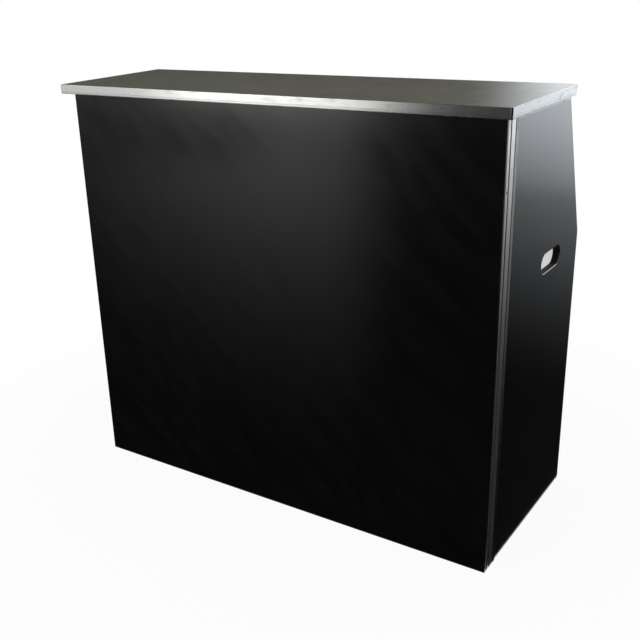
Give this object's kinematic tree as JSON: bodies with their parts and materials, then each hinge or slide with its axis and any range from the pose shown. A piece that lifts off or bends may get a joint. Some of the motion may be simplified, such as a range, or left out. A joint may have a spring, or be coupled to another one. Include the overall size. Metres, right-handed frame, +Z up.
{
  "type": "folding portable bar",
  "caption": "Free-standing folding bar: black front panel, side panels that fold in behind it on continuous hinges, swing-down work shelf and lift-off counter with aluminium edging.",
  "frame": {"origin": "on the floor, under the middle of the bar's overall length and depth", "axes": "+X along the counter, to the right as a customer sees it; +Y from the customers' side to the barkeeper's side; +Z up"},
  "size_m": [1.22, 0.535, 1.067],
  "materials": {
    "black_laminate": "satin black laminate on board",
    "counter_laminate": "satin dark grey laminate on board",
    "aluminium_trim": "drawn, satin",
    "steel": "plated, satin",
    "edge_band": "satin black",
    "nylon": "moulded, matt black",
    "rubber": "matt black"
  },
  "bodies": {
    "counter": {"counter_back_angle": "aluminium_trim", "counter_board": "counter_laminate", "counter_front_angle": "aluminium_trim", "counter_left_angle": "aluminium_trim", "counter_right_angle": "aluminium_trim"},
    "front": {"front_bottom_strip": "aluminium_trim", "front_left_strip": "aluminium_trim", "front_panel": "black_laminate", "front_right_strip": "aluminium_trim", "front_top_strip": "aluminium_trim", "left_catch_block": "nylon", "left_catch_screw": "steel", "left_dowel": "steel", "left_hinge_stile": "aluminium_trim", "left_shelf_buffer": "rubber", "left_side_hinge_fixed_leaf": "steel", "left_side_hinge_pin": "steel", "right_catch_block": "nylon", "right_catch_screw": "steel", "right_dowel": "steel", "right_hinge_stile": "aluminium_trim", "right_shelf_buffer": "rubber", "right_side_hinge_fixed_leaf": "steel", "right_side_hinge_pin": "steel", "shelf_hinge_block_left": "nylon", "shelf_hinge_block_middle": "nylon", "shelf_hinge_block_right": "nylon", "shelf_hinge_fixed_leaf_left": "steel", "shelf_hinge_fixed_leaf_middle": "steel", "shelf_hinge_fixed_leaf_right": "steel", "shelf_hinge_pin_left": "steel", "shelf_hinge_pin_middle": "steel", "shelf_hinge_pin_right": "steel"},
    "left_side": {"left_shelf_ledge": "aluminium_trim", "left_side_bottom_strip": "aluminium_trim", "left_side_front_channel": "aluminium_trim", "left_side_hinge_moving_leaf": "steel", "left_side_panel": "black_laminate", "left_side_rear_band": "edge_band", "left_side_slope_band": "edge_band", "left_side_top_channel": "aluminium_trim"},
    "left_catch": {"left_turn_button": "steel"},
    "right_side": {"right_shelf_ledge": "aluminium_trim", "right_side_bottom_strip": "aluminium_trim", "right_side_front_channel": "aluminium_trim", "right_side_hinge_moving_leaf": "steel", "right_side_panel": "black_laminate", "right_side_rear_band": "edge_band", "right_side_slope_band": "edge_band", "right_side_top_channel": "aluminium_trim"},
    "right_catch": {"right_turn_button": "steel"},
    "shelf": {"shelf_board": "black_laminate", "shelf_hinge_moving_leaf_left": "steel", "shelf_hinge_moving_leaf_middle": "steel", "shelf_hinge_moving_leaf_right": "steel", "shelf_left_band": "edge_band", "shelf_rear_strip": "aluminium_trim", "shelf_right_band": "edge_band"}
  },
  "joints": [
    {"name": "left_side_fold", "type": "hinge", "parent": "front", "child": "left_side", "pos_m": [-0.5647, -0.19175, 0.52], "axis": [0, 0, -1], "range_deg": [0, 90]},
    {"name": "right_side_fold", "type": "hinge", "parent": "front", "child": "right_side", "pos_m": [0.5647, -0.19175, 0.52], "axis": [0, 0, 1], "range_deg": [0, 90]},
    {"name": "shelf_swing", "type": "hinge", "parent": "front", "child": "shelf", "pos_m": [0, -0.1948, 0.56], "axis": [1, 0, 0], "range_deg": [-90, 0]},
    {"name": "counter_lift", "type": "slide", "parent": "front", "child": "counter", "axis": [0, 0, 1], "range_m": [0, 0.3]},
    {"name": "left_catch_turn", "type": "hinge", "parent": "front", "child": "left_catch", "pos_m": [-0.06, -0.1957, 0.981], "axis": [0, -1, 0], "range_deg": [0, 90]},
    {"name": "right_catch_turn", "type": "hinge", "parent": "front", "child": "right_catch", "pos_m": [0.06, -0.1957, 0.981], "axis": [0, 1, 0], "range_deg": [0, 90]}
  ]
}
